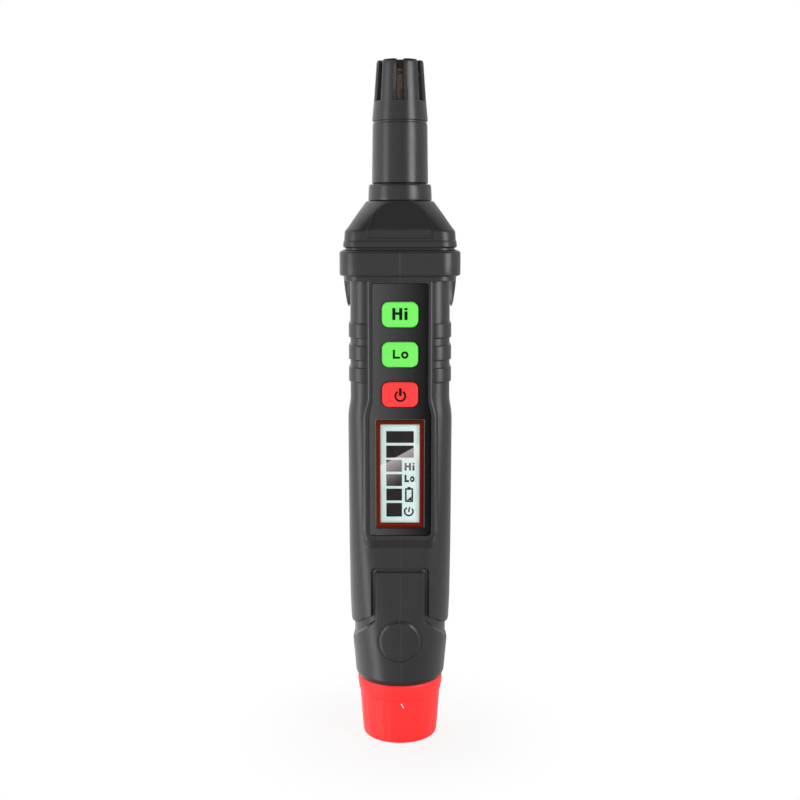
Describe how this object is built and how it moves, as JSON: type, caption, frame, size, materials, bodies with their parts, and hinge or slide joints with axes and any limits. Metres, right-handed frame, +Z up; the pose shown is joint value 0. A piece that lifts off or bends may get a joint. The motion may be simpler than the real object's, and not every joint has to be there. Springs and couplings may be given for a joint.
{
  "type": "moisture meter",
  "caption": "Pen-shaped moisture meter: two-piece housing, slotted vented sensor head on a slim neck, glossy face with keys and bar display, red screw cap over the battery tube.",
  "frame": {"origin": "centre of the battery cap's flat bottom face", "axes": "+Z up the long axis towards the sensor head, keys and display face -Y, +X to the right of someone facing the display"},
  "size_m": [0.0366, 0.0336, 0.214],
  "materials": {
    "housing_plastic": "fine satin grain",
    "panel_plastic": "polished",
    "key_green": "satin",
    "key_red": "satin",
    "cap_red": "satin",
    "bezel_red": "polished",
    "clear_window": "polished",
    "lcd": "polished, pale reflective cell",
    "white_plastic": "satin",
    "light_guide": "frosted",
    "elastomer": "striped",
    "seal_rubber": "matte",
    "board_green": "solder mask",
    "chip_black": "moulded",
    "part_grey": "mixed small parts",
    "sensor_filter": "sintered, dark",
    "sensor_steel": "drawn",
    "nickel": "nickel plated",
    "wire_red": "insulation",
    "screw_steel": "zinc plated",
    "cell_jacket": "plain jacket",
    "inner_plastic": "as moulded"
  },
  "bodies": {
    "housing": {"left_shell": "housing_plastic", "right_shell": "housing_plastic", "nose_cone": "housing_plastic", "neck_ring": "housing_plastic", "probe_neck": "housing_plastic", "vent_cap": "housing_plastic", "shell_screws": "screw_steel", "neck_seal": "seal_rubber", "cap_seal": "seal_rubber", "sensor_filter": "sensor_filter", "sensor_can": "sensor_steel", "sensor_pins": "nickel", "sensor_board": "board_green", "sensor_cable": "wire_red", "face_panel": "panel_plastic", "key_switches": "sensor_steel", "display_bezel": "bezel_red", "display_window": "clear_window", "lcd_glass": "lcd", "backlight": "light_guide", "display_holder": "white_plastic", "zebra_strips": "elastomer", "main_board": "board_green", "microcontroller": "chip_black", "board_parts": "part_grey", "cable_sockets": "white_plastic", "buzzer": "chip_black", "battery_tube": "inner_plastic", "top_contact_plate": "board_green", "top_contacts": "nickel", "battery_wires": "wire_red"},
    "screw_cap": {"battery_cap": "cap_red"},
    "battery_carrier": {"contact_carrier": "inner_plastic", "bridge_contacts": "nickel", "cell_a": "cell_jacket", "cell_b": "cell_jacket"},
    "hi_button": {"key_hi": "key_green", "plunger_hi": "chip_black"},
    "lo_button": {"key_lo": "key_green", "plunger_lo": "chip_black"},
    "power_button": {"key_power": "key_red", "plunger_power": "chip_black"}
  },
  "joints": [
    {"name": "cap_twist", "type": "hinge", "parent": "battery_carrier", "child": "screw_cap", "pos_m": [0, 0, 0.01], "axis": [0, 0, -1], "range_deg": [0, 1440]},
    {"name": "carrier_travel", "type": "slide", "parent": "housing", "child": "battery_carrier", "axis": [0, 0, -1], "range_m": [0, 0.01]},
    {"name": "key_hi_press", "type": "slide", "parent": "housing", "child": "hi_button", "axis": [0, 1, 0], "range_m": [0, 0.0005]},
    {"name": "key_lo_press", "type": "slide", "parent": "housing", "child": "lo_button", "axis": [0, 1, 0], "range_m": [0, 0.0005]},
    {"name": "key_power_press", "type": "slide", "parent": "housing", "child": "power_button", "axis": [0, 1, 0], "range_m": [0, 0.0005]}
  ],
  "couplings": [
    {"joint": "cap_twist", "follows": "carrier_travel", "rad_per_m": 2513.3}
  ]
}
